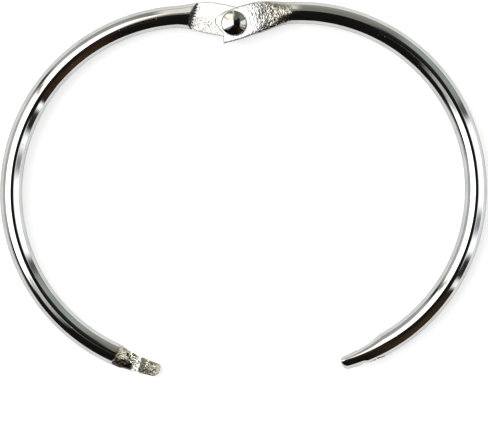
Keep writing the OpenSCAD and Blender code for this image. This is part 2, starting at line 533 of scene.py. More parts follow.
# Each kind of surface of a half ring, as steps whose product is a point's share of it. What they
# measure is named in HalfRing.masks: distances in millimetres, shares of the normal, and the
# kinds before them. First come the kinds that a press or a die has struck.
PRESSED: dict[str, tuple[Step, ...]] = {
    "faced": ((eased, "along", 6.5, 2.0), (eased, "up", 0.1, 0.5)),
    "hammered": ((eased, "along", 0.0, 5.2), (eased, "along", 9.8, 7.4), (eased, "up", 0.1, 0.5)),
    "mated": ((even, "ahead", 6.5, 6.4), (even, "along", 7.0, 6.9), (eased, "down", 0.5, 0.9)),
    "notched": (
        (eased, "from end", 2.9, 3.4), (eased, "from end", 4.7, 4.1), (eased, "down", 0.9, 0.98),
    ),
    "hooked": ((eased, "from end", 3.4, 3.1), (eased, "down", 0.1, 0.5)),
    "ramp": (
        (eased, "from end", 4.0, 4.6), (eased, "from end", 7.3, 6.9), (eased, "down", -0.1, 0.25),
    ),
    "sunken": (of("ramp"), (eased, "across", 0.3, 0.55)),
    "ramped": (of("ramp"), of("sunken", 1.0, 0.3)),
    "scuffed": (of("mated"), (eased, "across", 1.4, -1.0), (eased, "along", 0.5, 2.5)),
}
# the kinds that only the further finishes need; the shoulder, the ears' end walls, the heel, the
# flecks on the notch's lips and the hook's far side are where painted shade is laid
DETAILS: dict[str, tuple[Step, ...]] = {
    "shoulder": (
        (eased, "ahead", 5.95, 6.05), (even, "along", 8.4, 8.2), (eased, "back", 0.35, 0.6),
        (even, "height", 0.02, -0.06),
    ),
    "cut end": ((eased, "along", 0.5, 0.0), (eased, "back", 0.3, 0.6)),
    "bare heel": (of("hammered"), (eased, "along", 3.0, 7.0)),
    "worn heel": (of("hammered"), (eased, "along", 3.5, 7.0)),
    "lips": ((eased, "from lip", 0.34, 0.08), (eased, "down", 0.1, 0.5)),
    "flecks": (of("lips"), (eased, "into fleck", 0.1, 0.24)),
    "outer side": ((eased, "across", -0.5, 0.5),),
    "bare hook": (of("hooked"), (eased, "slanted", 1.4, 3.0)),
    "dotted hook": (of("hooked"), of("outer side", 0.2, 0.9)),
}
# how strongly each kind of surface has each further finish: the first is near black painted shade
# over the shoulder, the ears' end walls, the ramp's sunken lower half, the hook, the heel and the
# lips' flecks; the second is wear on the tip with painted brown shade towards the hammered heel;
# the third is small dark pits
FINISHES: dict[str, dict[str, float]] = {
    "sheared": {
        "shoulder": 0.8, "cut end": 0.8, "sunken": 0.9, "hooked": 0.1, "bare heel": 0.24,
        "flecks": 0.7, "bare hook": 0.55,
    },
    "worn": {"ramped": 0.9, "hooked": 0.8, "worn heel": 0.7},
    "dotted": {"scuffed": 0.9, "dotted hook": 1.0, "ramped": 0.25, "lips": 1.0},
}


class Socket(Enum):
    """Kinds of sockets that a node group can have."""

    NUMBER = "NodeSocketFloat"
    COUNT = "NodeSocketInt"
    TEXT = "NodeSocketString"
    VECTOR = "NodeSocketVector"
    GEOMETRY = "NodeSocketGeometry"
    MATERIAL = "NodeSocketMaterial"


# the kind of socket that a default value stands for
SOCKET_OF = {float: Socket.NUMBER, int: Socket.COUNT, str: Socket.TEXT, tuple: Socket.VECTOR}


class NodeTree:
    """Small helper that adds nodes to a tree and links them."""

    def __init__(self, tree: bpy.types.NodeTree) -> None:
        """Starts with an empty tree.

        Args:
            tree: The tree to fill.
        """
        self.tree = tree
        tree.nodes.clear()

    def add(self, kind: str, inputs: dict | None = None, **settings: object) -> bpy.types.Node:
        """Adds a node.

        Args:
            kind: The node's bl_idname.
            inputs: Values or sockets for its inputs, by name or number.
            settings: The node's own settings.

        Returns:
            The new node.
        """
        node = self.tree.nodes.new(kind)
        for name, value in settings.items():
            setattr(node, name, value)
        self.fill(node, inputs or {})
        return node

    def first(self, kind: str, inputs: dict, **settings: object) -> bpy.types.NodeSocket:
        """Adds a node as add does and returns its first output."""
        return self.add(kind, inputs, **settings).outputs[0]

    def fill(self, node: bpy.types.Node, inputs: dict) -> None:
        """Links or sets a node's inputs.

        Args:
            node: The node.
            inputs: Values or sockets for its inputs, by name or number.
        """
        for key, value in inputs.items():
            if isinstance(value, bpy.types.NodeSocket):
                self.tree.links.new(value, node.inputs[key])
            else:
                node.inputs[key].default_value = value

    def math(self, operation: str, *values: object) -> bpy.types.NodeSocket:
        """Adds a Math node and returns its result."""
        return self.first("ShaderNodeMath", dict(enumerate(values)), operation=operation)

    def product(self, *values: object) -> bpy.types.NodeSocket:
        """Adds the product of two or more values and returns it."""
        return reduce(lambda first, second: self.math("MULTIPLY", first, second), values)

    def vector(self, operation: str, *values: object) -> bpy.types.NodeSocket:
        """Adds a Vector Math node and returns its result."""
        node = self.add("ShaderNodeVectorMath", dict(enumerate(values)), operation=operation)
        return node.outputs["Value" if operation == "DOT_PRODUCT" else "Vector"]

    def combine(self, *values: object) -> bpy.types.NodeSocket:
        """Adds a node that makes a vector of its X, Y and Z and returns the vector."""
        return self.first("ShaderNodeCombineXYZ", dict(enumerate(values)))

    def smooth(self, value: object, start: object, end: object) -> bpy.types.NodeSocket:
        """Adds a smooth step from 0 at start to 1 at end and returns its result."""
        inputs = {"Value": value, "From Min": start, "From Max": end}
        return self.first("ShaderNodeMapRange", inputs, interpolation_type="SMOOTHSTEP")

    def spread(self, value: object, span: Span) -> bpy.types.NodeSocket:
        """Adds an even change from the span's first number at 0 to its second at 1."""
        return self.math("MULTIPLY_ADD", value, span[1] - span[0], span[0])

    def blend(self, share: object, start: object, end: object) -> bpy.types.NodeSocket:
        """Adds a mix of two colours by a share and returns the mixed colour."""
        inputs = {"Factor": share, 6: start, 7: end}
        return self.add("ShaderNodeMix", inputs, data_type="RGBA").outputs[2]

    def attribute(self, name: str, output: str = "Fac") -> bpy.types.NodeSocket:
        """Adds a node that reads a named attribute and returns one of its outputs."""
        return self.add("ShaderNodeAttribute", attribute_name=name).outputs[output]

    def inside(self, rooms: list, soft: object) -> bpy.types.NodeSocket:
        """Adds a mask of what lies inside several soft edges.

        Args:
            rooms: How far inside each edge a place lies, as values or sockets.
            soft: Width of the soft edges.

        Returns:
            The mask.
        """
        # half of the soft width lies on either side of an edge
        edges = [self.smooth(self.math("DIVIDE", room, soft), -0.5, 0.5) for room in rooms]
        return self.product(*edges)

    def end_plated(self, geometry: object, plate: object, result: bpy.types.Node) -> None:
        """Ends a tree in real geometry with its material.

        Args:
            geometry: The geometry's socket.
            plate: The material's socket.
            result: The group's output node.
        """
        real = self.first("GeometryNodeRealizeInstances", {"Geometry": geometry})
        plated = self.first("GeometryNodeSetMaterial", {"Geometry": real, "Material": plate})
        self.fill(result, {0: plated})


def node_group(
    name: str, kind: str, inputs: dict, outputs: dict
) -> tuple[NodeTree, dict, bpy.types.Node]:
    """Starts a node group with named sockets.

    Args:
        name: The group's name.
        kind: ShaderNodeTree or GeometryNodeTree.
        inputs: Default value of each input by name, or its Socket where it has none.
        outputs: Socket of each output, by name.

    Returns:
        The tree, its inputs' sockets by name, and its output node.
    """
    group = bpy.data.node_groups.new(name, kind)
    for label, value in inputs.items():
        socket = value if isinstance(value, Socket) else SOCKET_OF[type(value)]
        made = group.interface.new_socket(label, in_out="INPUT", socket_type=socket.value)
        if socket is not value:
            made.default_value = value
    for label, socket in outputs.items():
        group.interface.new_socket(label, in_out="OUTPUT", socket_type=socket.value)
    nodes = NodeTree(group)
    entry = nodes.add("NodeGroupInput")
    result = nodes.add("NodeGroupOutput")
    return nodes, {label: entry.outputs[label] for label in inputs}, result


def grown(obj: bpy.types.Object, group: bpy.types.NodeTree, values: dict) -> bpy.types.Mesh:
    """Runs a Geometry Nodes group on an object once and returns the plain mesh.

    Args:
        obj: The object whose mesh goes into the group.
        group: The group to run.
        values: A value for each named input.

    Returns:
        The evaluated mesh, free of modifiers.
    """
    modifier = obj.modifiers.new(group.name, "NODES")
    modifier.node_group = group
    for item in group.interface.items_tree:
        if item.in_out == "INPUT" and item.name in values:
            modifier[item.identifier] = values[item.name]
    return applied(obj, modifier)


class WireSweep:
    """Geometry Nodes that sweep round wire along a stretch of the ring."""

    def __init__(self) -> None:
        """Builds the node group."""
        nodes, given, result = node_group(
            "round wire",
            "GeometryNodeTree",
            {
                **dict.fromkeys(("Ring radius", "Wire radius", "From", "To"), 0.0),
                "Stations": 2,
                "Points round": 3,
                "Plate": Socket.MATERIAL,
            },
            {"Wire": Socket.GEOMETRY},
        )
        round_more = nodes.math("ADD", given["Points round"], 1.0)
        size = {"Vertices X": given["Stations"], "Vertices Y": round_more}
        grid = nodes.first("GeometryNodeMeshGrid", {**size, "Size X": 1.0, "Size Y": 1.0})
        index = nodes.first("GeometryNodeInputIndex", {})
        middle = nodes.math("ADD", index, 0.5)
        station = nodes.math("FLOOR", nodes.math("DIVIDE", middle, round_more))
        point = nodes.math("SUBTRACT", index, nodes.product(station, round_more))
        share = nodes.math("DIVIDE", station, nodes.math("SUBTRACT", given["Stations"], 1.0))
        span = nodes.math("SUBTRACT", given["To"], given["From"])
        angle = nodes.math("MULTIPLY_ADD", share, span, given["From"])
        around = nodes.math("DIVIDE", point, given["Points round"])
        around = nodes.math("MULTIPLY_ADD", around, 2 * math.pi, -math.pi / 2)
        out = nodes.product(nodes.math("COSINE", around), given["Wire radius"])
        radius = nodes.math("ADD", given["Ring radius"], out)
        place = nodes.combine(
            nodes.product(radius, nodes.math("SINE", angle)),
            nodes.product(radius, nodes.math("COSINE", angle)),
            nodes.product(nodes.math("SINE", around), given["Wire radius"]),
        )
        bent = nodes.first("GeometryNodeSetPosition", {"Geometry": grid, "Position": place})
        closed = nodes.first("GeometryNodeMergeByDistance", {"Geometry": bent, "Distance": WELD})
        nodes.end_plated(closed, given["Plate"], result)
        self.group = nodes.tree

    def points(self, wire: Wire, start: float, end: float, stations: int) -> bpy.types.Mesh:
        """Sweeps a stretch of wire.

        Args:
            wire: The wire and the ring it is bent to.
            start: Angle in radians, clockwise from the rivet, where the stretch starts.
            end: Angle where it ends.
            stations: How many cross-sections it has.

        Returns:
            The stretch as an open tube, in metres.
        """
        obj = linked("stretch", bpy.data.meshes.new("stretch"))
        values = {
            "Ring radius": wire.ring_radius * MM,
            "Wire radius": wire.radius * MM,
            "From": start,
            "To": end,
            "Stations": stations,
            "Points round": ARC_POINTS - 1,
        }
        tube = grown(obj, self.group, values)
        bpy.data.objects.remove(obj)
        return tube


class PressMarks:
    """Geometry Nodes that strike small tilted facets into a surface, as a press and its dies do."""

    def __init__(self) -> None:
        """Builds the node group."""
        nodes, given, result = node_group(
            "press marks",
            "GeometryNodeTree",
            {
                "Metal": Socket.GEOMETRY,
                "Where": "",
                **dict.fromkeys(("Mark length", "Mark width", "Turn", "Spread"), 0.0),
                **dict.fromkeys(("Lean along", "Lean across", "Depth", "Seed"), 0.0),
                "Plate": Socket.MATERIAL,
            },
            {"Metal": Socket.GEOMETRY},
        )
        attribute = "GeometryNodeInputNamedAttribute"
        where = nodes.first(attribute, {"Name": given["Where"]}, data_type="FLOAT")
        lay = nodes.first(attribute, {"Name": "lay"}, data_type="FLOAT_VECTOR")
        size = nodes.combine(given["Mark length"], given["Mark width"], 1.0)
        turned = self.turned(nodes, lay, given["Turn"])
        scaled = nodes.vector("DIVIDE", turned, size)
        scaled = nodes.vector("ADD", scaled, nodes.combine(0.0, 0.0, given["Seed"]))
        cells = nodes.add("ShaderNodeTexVoronoi", {"Vector": scaled, "Scale": 1.0})
        from_middle = nodes.vector("SUBTRACT", scaled, cells.outputs["Position"])
        from_middle = nodes.vector("MULTIPLY", from_middle, size)
        chance = nodes.vector("SUBTRACT", cells.outputs["Color"], (0.5, 0.5, 0.5))
        slimness = nodes.math("DIVIDE", given["Mark width"], given["Mark length"])
        spread = given["Spread"]
        evenly = nodes.combine(nodes.product(spread, slimness), spread)
        lean = nodes.combine(given["Lean along"], given["Lean across"])
        lean = self.turned(nodes, lean, given["Turn"])
        tilt = nodes.vector("ADD", nodes.vector("MULTIPLY", chance, evenly), lean)
        fall = nodes.vector("DOT_PRODUCT", from_middle, tilt)
        sunk = nodes.product(given["Depth"], -1.0)
        height = nodes.math("MULTIPLY_ADD", fall, -1.0, sunk)
        amount = nodes.product(nodes.math("MINIMUM", height, 0.0), MM, where)
        normal = nodes.first("GeometryNodeInputNormal", {})
        down = {0: normal, "Scale": amount}
        offset = nodes.first("ShaderNodeVectorMath", down, operation="SCALE")
        metal = {"Geometry": given["Metal"], "Offset": offset}
        nodes.end_plated(nodes.first("GeometryNodeSetPosition", metal), given["Plate"], result)
        self.group = nodes.tree

    @staticmethod
    def turned(nodes: NodeTree, vector: object, angle: object) -> bpy.types.NodeSocket:
        """Adds a turn about Z and returns the turned vector."""
        inputs = {"Vector": vector, "Angle": angle}
        return nodes.first("ShaderNodeVectorRotate", inputs, rotation_type="Z_AXIS")

    def strike(self, obj: bpy.types.Object, values: dict) -> None:
        """Strikes marks into an object's mesh for good.

        Args:
            obj: The object to mark.
            values: A value for each named input of the group.
        """
        replace_mesh(obj, grown(obj, self.group, values))


@dataclass(frozen=True)
class Marks:
    """One kind of press marks. Sizes in millimetres, angles in degrees.

    Attributes:
        where: Name of the attribute that says where they are.
        length: Length of one mark.
        width: Width of one mark.
        turn: Angle of the marks' length to the wire.
        spread: How far the marks tilt to either side at random.
        depth: How deep their middles lie.
        seed: Which pattern it is.
        lean: How far they all lean the same way.
        towards: Direction of that lean, anticlockwise from along the wire to across it.
    """

    where: str
    length: float
    width: float
    turn: float
    spread: float
    depth: float
    seed: float
    lean: float = 0.0
    towards: float = 0.0

    def values(self, plate: bpy.types.Material) -> dict:
        """Numbers for the node group.

        Args:
            plate: The finish of the marked metal.

        Returns:
            A value for each of the group's inputs besides the metal.
        """
        towards, slope = math.radians(self.towards), math.tan(math.radians(self.lean))
        return {
            "Where": self.where,
            "Mark length": self.length,
            "Mark width": self.width,
            "Turn": math.radians(-self.turn),
            "Spread": 2 * math.tan(math.radians(self.spread)),
            "Lean along": slope * math.cos(towards),
            "Lean across": slope * math.sin(towards),
            "Depth": self.depth,
            "Seed": self.seed,
            "Plate": plate,
        }


def streaks_group() -> bpy.types.NodeTree:
    """Builds the shader group for the fine lines that drawing and polishing leave.

    Returns:
        The group, with a height and a haze mask as outputs.
    """
    nodes, given, result = node_group(
        "drawn streaks",
        "ShaderNodeTree",
        {"Lay": (0.0, 0.0, 0.0), "Along": 0.1, "Across": 6.0, "Offset": 0.0},
        {"Height": Socket.NUMBER, "Haze": Socket.NUMBER},
    )
    parts = nodes.add("ShaderNodeSeparateXYZ", {0: given["Lay"]}).outputs
    stretched = nodes.combine(
        nodes.product(parts[0], given["Along"]),
        nodes.product(parts[1], given["Across"]),
        nodes.math("MULTIPLY_ADD", parts[2], given["Across"], given["Offset"]),
    )
    noise = "ShaderNodeTexNoise"
    lines = nodes.first(noise, {"Vector": stretched, "Scale": 1.0, "Detail": 3.0})
    cloud = nodes.first(noise, {"Vector": given["Lay"], "Scale": 0.35, "Detail": 4.0})
    haze_from, haze_to = 0.38, 0.68
    nodes.fill(result, {"Height": lines, "Haze": nodes.smooth(cloud, haze_from, haze_to)})
    return nodes.tree


def pits_group() -> bpy.types.NodeTree:
    """Builds the shader group for tiny pits and specks in the plating.

    Returns:
        The group, with a mask as its output.
    """
    nodes, given, result = node_group(
        "plating pits",
        "ShaderNodeTree",
        {"Lay": (0.0, 0.0, 0.0), "Per millimetre": 2.0, "Share": 0.1, "Reach": 0.22},
        {"Mask": Socket.NUMBER},
    )
    cells = nodes.add(
        "ShaderNodeTexVoronoi", {"Vector": given["Lay"], "Scale": given["Per millimetre"]}
    )
    chosen = nodes.first("ShaderNodeSeparateXYZ", {0: cells.outputs["Color"]})
    picked = nodes.math("LESS_THAN", chosen, given["Share"])
    full_within = 0.3
    inner = nodes.product(given["Reach"], full_within)
    spot = nodes.smooth(cells.outputs["Distance"], given["Reach"], inner)
    nodes.fill(result, {"Mask": nodes.product(picked, spot)})
    return nodes.tree


@dataclass(frozen=True)
class NickelPlate:
    """Bright nickel plating, satin where a press has marked the metal, with painted shade in its
    recesses, on its edges and towards the hammered heel.

    Attributes:
        colour: Linear colour of the metal.
        tarnish: Linear colour where the plating is thin.
        bare: Linear colour of small pits, and of the near black painted shade on the shoulder, the
            end walls, the tip and the rivet's rim.
        worn: Linear colour of the pressed tip, where the plating lets the metal through, and of the
            painted brown shade towards the hammered ear's heel.
        polished: Roughness of the drawn wire.
        polished_span: Shares of it between which the haze changes it.
        pressed: Roughness of the pressed faces.
        pressed_span: Shares of it between which the grain changes it.
        speck_rough: Roughness that a pit adds.
        haze_stain: Share of tarnish where the haze is full.
        speck_stain: Share of tarnish that a pit adds.
        dots: Settings of the small dark dots on pressed metal.
        grain: Settings of the pressed faces' grain.
        ridge_pitch: Pitch in millimetres of the fine ridges that the dies print.
        ridge_lean: Slope in degrees of their long sides.
        streak_height: Height of the drawn streaks in millimetres.
        grain_height: Height of the pressed faces' grain in millimetres.
        glancing: Linear colour of the metal at a glancing angle.
        offset: Which part of the noise it reads.
        reads: The attributes of a piece that it reads, besides lay.
    """

    colour: Colour
    tarnish: Colour
    bare: Colour = (0.055, 0.038, 0.022)
    worn: Colour = (0.56, 0.53, 0.42)
    polished: float = 0.06
    polished_span: Span = (0.7, 1.3)
    pressed: float = 0.3
    pressed_span: Span = (0.6, 1.4)
    speck_rough: float = 0.3
    haze_stain: float = 0.35
    speck_stain: float = 0.5
    dots: dict[str, float] = field(
        default_factory=lambda: {"Per millimetre": 3.4, "Share": 0.55, "Reach": 0.42}
    )
    grain: dict[str, float] = field(
        default_factory=lambda: {"Scale": 7.0, "Detail": 4.0, "Roughness": 0.6}
    )
    ridge_pitch: float = 0.09
    ridge_lean: float = 12.0
    streak_height: float = 0.0018
    grain_height: float = 0.003
    glancing: Colour = (0.7, 0.72, 0.72)
    offset: float = 0.0
    reads: ClassVar[tuple[str, ...]] = (
        "pressed", "sheared", "worn", "dotted", "ridge", "ridged",
    )

    def material(
        self, name: str, streaks: bpy.types.NodeTree, pits: bpy.types.NodeTree
    ) -> bpy.types.Material:
        """Builds the finish.

        Args:
            name: The material's name.
            streaks: The group of drawn streaks.
            pits: The group of plating pits.

        Returns:
            The material.
        """
        made = bpy.data.materials.new(name)
        made.use_nodes = True
        nodes = NodeTree(made.node_tree)
        lay = nodes.attribute("lay", "Vector")
        pressed, sheared, worn, dotted, ridge, ridged = map(nodes.attribute, self.reads)
        drawn = nodes.add("ShaderNodeGroup", node_tree=streaks)
        nodes.fill(drawn, {"Lay": lay, "Offset": self.offset})
        speck, dots = (nodes.add("ShaderNodeGroup", node_tree=pits) for _ in range(2))
        nodes.fill(speck, {"Lay": lay})
        nodes.fill(dots, {"Lay": lay, **self.dots})
        haze, pit = drawn.outputs["Haze"], speck.outputs["Mask"]
        grain = nodes.first("ShaderNodeTexNoise", {"Vector": lay, **self.grain})
        shine = nodes.spread(haze, tuple(self.polished * share for share in self.polished_span))
        satin = nodes.spread(grain, tuple(self.pressed * share for share in self.pressed_span))
        mixed = {"Factor": pressed, "A": shine, "B": satin}
        rough = nodes.first("ShaderNodeMix", mixed, data_type="FLOAT")
        rough = nodes.math("MULTIPLY_ADD", pit, self.speck_rough, rough)
        stain = nodes.product(haze, self.haze_stain)
        stain = nodes.math("MULTIPLY_ADD", pit, self.speck_stain, stain)
        # small dark pits where a piece is dotted, joined by near black painted shade
        dark = nodes.product(dots.outputs["Mask"], dotted)
        dark = nodes.math("MAXIMUM", sheared, dark)
        colour: object = (*self.colour, 1.0)
        # after the haze's tarnish come wear on the tip with painted brown shade at the heel, then
        # pits with near black painted shade
        for share, tint in ((stain, self.tarnish), (worn, self.worn), (dark, self.bare)):
            colour = nodes.blend(share, colour, (*tint, 1.0))
        lines = nodes.product(drawn.outputs["Height"], self.streak_height)
        lumps = nodes.product(grain, pressed, self.grain_height)
        step = nodes.math("FRACT", nodes.math("DIVIDE", ridge, self.ridge_pitch))
        rise = -self.ridge_pitch * math.tan(math.radians(self.ridge_lean))
        ridges = nodes.product(step, ridged, rise)
        relief = nodes.math("ADD", nodes.math("ADD", lines, lumps), ridges)
        bump = nodes.first("ShaderNodeBump", {"Height": relief, "Strength": 1.0, "Distance": MM})
        metal = nodes.first(
            "ShaderNodeBsdfPrincipled",
            {
                "Base Color": colour,
                "Metallic": 1.0,
                "Roughness": rough,
                "Normal": bump,
                "Specular Tint": (*self.glancing, 1.0),
            },
        )
        nodes.add("ShaderNodeOutputMaterial", {"Surface": metal})
        return made


@dataclass
class HalfRing:
    """One half ring of wire with its ear and its snap tip.

    Attributes:
        name: The piece's name.
        node: The CAD node it stands for.
        body: The body it moves with.
        slot: The record's material slot.
        ear: Its ear.
        tip: Its tip.
        hole_out: How far the rivet hole lies outside the middle of the wire, in millimetres.
        hole_radius: Radius of the rivet hole.
        joint_shift: How far the closed joint lies past the point opposite the rivet.
        place: Where the half ring stands, drawn as the right half of the closed ring.
        marks: Its press marks.
        wire: The wire it is bent from.
        wire_stations: Cross-sections along the plain wire.
        ridge_azimuth: Direction in degrees, once it stands there, that the dies' ridges face.
        hammered_ridges: How much of those ridges the hammer takes away.
        hammered_gloss: How much of the pressed faces' haze the hammer takes away.
        tip_gloss: How much of it the tip's dies take away.
        notch_at: Distance from the tip's end to the middle of the notch, in millimetres.
        notch_half: Half the distance between the notch's two lips.
        fleck_pitch: Pitch of the dark flecks painted on those lips.
        hook_slant: How far the darker side painted on the hook slants back over its width.
        drill_points: Points round the rivet hole.
    """

    name: str
    node: str
    body: str
    slot: str
    ear: Ear
    tip: SnapTip
    hole_out: float
    hole_radius: float
    joint_shift: float
    place: Matrix
    marks: tuple[Marks, ...]
    wire: Wire
    wire_stations: int = 170
    ridge_azimuth: float = 152.0
    hammered_ridges: float = 0.9
    hammered_gloss: float = 0.45
    tip_gloss: float = 0.7
    notch_at: float = 3.4
    notch_half: float = 0.82
    fleck_pitch: float = 0.34
    hook_slant: float = 1.2
    drill_points: int = 96

    def ear_row(self, along: float) -> np.ndarray:
        """One cross-section of the ear.

        Args:
            along: Distance from the rivet along the middle of the wire.

        Returns:
            Points round the section, the rounded part first and then the flat underside.
        """
        ear, wire = self.ear, self.wire
        ring, side = wire.ring_radius, ear.width / 2
        rounding = eased(along, ear.flat_to, ear.round_at)
        upper = mix(ear.height, wire.radius, rounding)
        half_w = mix(side, wire.radius, eased(along, ear.narrows_at, ear.round_at))
        middle = ring * math.sin(wire.turn(along))
        floor = ear.floor(middle, wire)
        pressed = mix(
            ear.end_squareness, ear.squareness, eased(along, ear.squarest_to, ear.flat_to)
        )
        squareness = mix(pressed, 1.0, rounding)
        share, height = cross_section(squareness, floor, half_w, upper, wire.radius)
        flat = np.arange(len(share)) >= ARC_POINTS
        if middle < ear.shoulder_at:
            rim = ear.rim * (1 - even(middle, ear.shoulder_at - ear.rim_fade, ear.shoulder_at))
            raised = floor + ear.rolled((share[0] - np.abs(share)) * half_w, rim)
            height = np.where(flat, raised, np.maximum(height, floor + rim))
        height = np.minimum(height, upper - ear.rolled(middle + ear.nose, ear.end_roll))
        end = ear.end_line()
        kept_straight = 1 - eased(along, *ear.straight)
        warp = 1 - even(middle, -ear.nose, ear.end_reach)
        on_slope = float(ear.shoulder_at <= middle + TINY)
        on_slope *= even(floor, -wire.radius, ear.flute_end)
        near_edge = 1 - (share / max(share[0], TINY)) ** ear.flute_fade
        taper = ear.corner_in / ear.nose if ear.end is EarEnd.SHEARED else 0.0
        turned = np.full(len(share), wire.turn(along))
        for _ in range(SETTLING):
            width = mix(side, wire.radius, eased(turned * ring, ear.narrows_at, ear.round_at))
            tapered = ring - (ring - side) / (np.cos(turned) + taper * np.sin(turned))
            width = np.where((share < 0) & (turned < 0), np.minimum(width, tapered), width)
            radius = ring + width * share
            across = radius * np.cos(turned) - ring
            line = middle + warp * (np.interp(across, end[:, 0], end[:, 1]) + ear.nose)
            line = line + on_slope * flat * near_edge * ear.flutes(across)
            turned = mix(wire.turn(along), np.arcsin(line / radius), kept_straight)
        return np.stack([radius * np.sin(turned), radius * np.cos(turned), height], 1)

    def tip_row(self, along: float) -> np.ndarray:
        """One cross-section of the tip.

        Args:
            along: Distance from the joint's middle, positive towards the wire.

        Returns:
            Points round the section, the rounded part first and then the flat underside.
        """
        tip, wire = self.tip, self.wire
        ring = wire.ring_radius
        end = math.sqrt(1 - (1 - even(along + tip.past, 0, tip.rounding)) ** 2)
        half_h = mix(tip.end_height, 1.0, end) * wire.radius
        middle = ring * math.sin(wire.turn(along))
        floor = tip.floor(middle, wire)
        share, height = cross_section(1.0, floor, wire.radius, half_h, half_h)
        straight = between(along, tip.straight_in, tip.straight_out)
        turned = np.full(len(share), wire.turn(along))
        for _ in range(SETTLING):
            from_end = turned * ring + tip.past
            step = eased(from_end, tip.step_at - tip.step_blend, tip.step_at + tip.step_blend)
            narrow = even(from_end, tip.rounding, tip.rounding + tip.taper)
            outer, inner = mix(tip.outer, wire.radius, step), mix(tip.inner, wire.radius, narrow)
            width = mix(tip.end_share, 1.0, end) * np.where(share > 0, outer, inner)
            radius = ring + width * share
            turned = mix(wire.turn(along), np.arcsin(middle / radius), straight)
        angle = math.pi + wire.turn(self.joint_shift) - turned
        return np.stack([radius * np.sin(angle), radius * np.cos(angle), height], 1)

    def ear_stations(self) -> np.ndarray:
        """Where the ear's cross-sections stand.

        Returns:
            Distances from the rivet along the middle of the wire.
        """
        ear, wire = self.ear, self.wire
        ring = wire.ring_radius
        foot = ear.shoulder_at
        heel = foot + ear.shoulder_run * (1 + ear.mate / wire.radius)
        nose, foot, heel = (ring * math.asin(x / ring) for x in (-ear.nose, foot, heel))
        rolled, face, shoulder, blend = ear.stations
        return np.concatenate([
            nose + ear.end_roll * (np.arange(rolled) / rolled) ** 2,
            np.linspace(nose + ear.end_roll, foot, face)[:-1],
            np.linspace(foot, heel, shoulder)[:-1],
            np.linspace(heel, ear.round_at, blend),
        ])

    def tip_stations(self) -> np.ndarray:
        """Where the tip's cross-sections stand.

        Returns:
            Distances from the joint's middle along the middle of the wire.
        """
        tip, ring = self.tip, self.wire.ring_radius
        at = tip.corners()
        blunt, hook, top, face, foot, web, ramp, neck = tip.stations
        ramp_radius = tip.web + self.wire.radius
        ramp_end = tip.past + tip.end_gap
        rise = np.arange(1, ramp + 1) / ramp
        curved = np.concatenate([
            np.linspace(at["rounding"], at["top"], top),
            np.linspace(at["top"], at["face"], face)[1:],
            np.linspace(at["face"], at["foot"], foot)[1:],
            np.linspace(at["foot"], ramp_end - ramp_radius, web)[1:],
            ramp_end - ramp_radius * (1 - np.sin(rise * math.pi / 2)),
        ])
        curved = np.array([ring * math.asin(x / ring) for x in curved])
        ends = tip.rounding * (np.arange(blunt + 1) / blunt) ** 2 - tip.past
        return np.concatenate([
            ends,
            np.linspace(ends[-1], curved[0], hook)[1:-1],
            curved,
            np.linspace(curved[-1], ramp_end + tip.neck, neck)[1:],
        ])

    @staticmethod
    def skin(rows: list[np.ndarray], cap: str) -> bpy.types.Mesh:
        """Joins cross-sections into a tube that is closed at its first end.

        Args:
            rows: Cross-sections, with the same number of points each.
            cap: "wall" for an upright end wall, "face" for one flat face.

        Returns:
            The mesh, in metres.
        """
        count = len(rows[0])
        verts = np.concatenate(rows) * MM
        faces = []
        for j in range(len(rows) - 1):
            for i in range(count):
                a, b = j * count + i, j * count + (i + 1) % count
                faces.append((a, b, b + count, a + count))
        if cap == "face":
            faces.append(tuple(range(count)))
        else:
            upper = list(range(ARC_POINTS))
            lower = [0, *range(count - 1, ARC_POINTS - 2, -1)]
            row = rows[0]
            i = j = 0
            while i < len(upper) - 1 or j < len(lower) - 1:
                step_up = j == len(lower) - 1 or (
                    i < len(upper) - 1 and row[upper[i + 1], 1] >= row[lower[j + 1], 1]
                )
                if step_up:
                    faces.append((upper[i], upper[i + 1], lower[j]))
                    i += 1
                else:
                    faces.append((upper[i], lower[j + 1], lower[j]))
                    j += 1
        mesh = bpy.data.meshes.new("skin")
        mesh.from_pydata(verts.tolist(), [], [f for f in faces if len(set(f)) == len(f)])
        return mesh

    def lay(self, mesh: bpy.types.Mesh) -> None:
        """Writes where each point lies along, across and above the wire, and how it is finished.

        Args:
            mesh: The half ring's mesh, before it is moved to its place.
        """
        ring = self.wire.ring_radius
        points = rows_of(mesh, "co") / MM
        angle = np.arctan2(points[:, 0], points[:, 1])
        angle = np.where(angle < -math.pi / 2, angle + 2 * math.pi, angle)
        across = np.hypot(points[:, 0], points[:, 1]) - ring
        lay = np.stack([angle * ring, across, points[:, 2]], 1)
        for name, values in self.masks(points, rows_of(mesh, "normal"), lay).items():
            write(mesh, name, values)
        write(mesh, "lay", lay)

    def masks(
        self, points: np.ndarray, normals: np.ndarray, lay: np.ndarray
    ) -> dict[str, np.ndarray]:
        """Measures how much each point belongs to each kind of surface.

        Args:
            points: Rows of the points' places in millimetres, before the piece is moved.
            normals: Rows of their normals.
            lay: Rows of where they lie along, across and above the middle of the wire.

        Returns:
            A number for each point, by the name of the attribute.
        """
        along, across, height = lay.T
        end = (math.pi + self.wire.turn(self.joint_shift + self.tip.past)) * self.wire.ring_radius
        from_end = end - along
        known = {
            "along": along, "across": across, "height": height, "ahead": points[:, 0],
            "up": normals[:, 2], "down": -normals[:, 2], "back": -normals[:, 0],
            "from end": from_end,
            "from lip": np.abs(np.abs(from_end - self.notch_at) - self.notch_half),
            "into fleck": points[:, 1] % self.fleck_pitch,
            "slanted": from_end + self.hook_slant * across,
        }
        for name, steps in (PRESSED | DETAILS).items():
            shares = [change(known[what], none, full) for change, what, none, full in steps]
            known[name] = np.prod(shares, axis=0)

        def strongest(shares: dict[str, float]) -> np.ndarray:
            """The strongest of some kinds at each point, each taken at its share."""
            return np.maximum.reduce([share * known[name] for name, share in shares.items()])

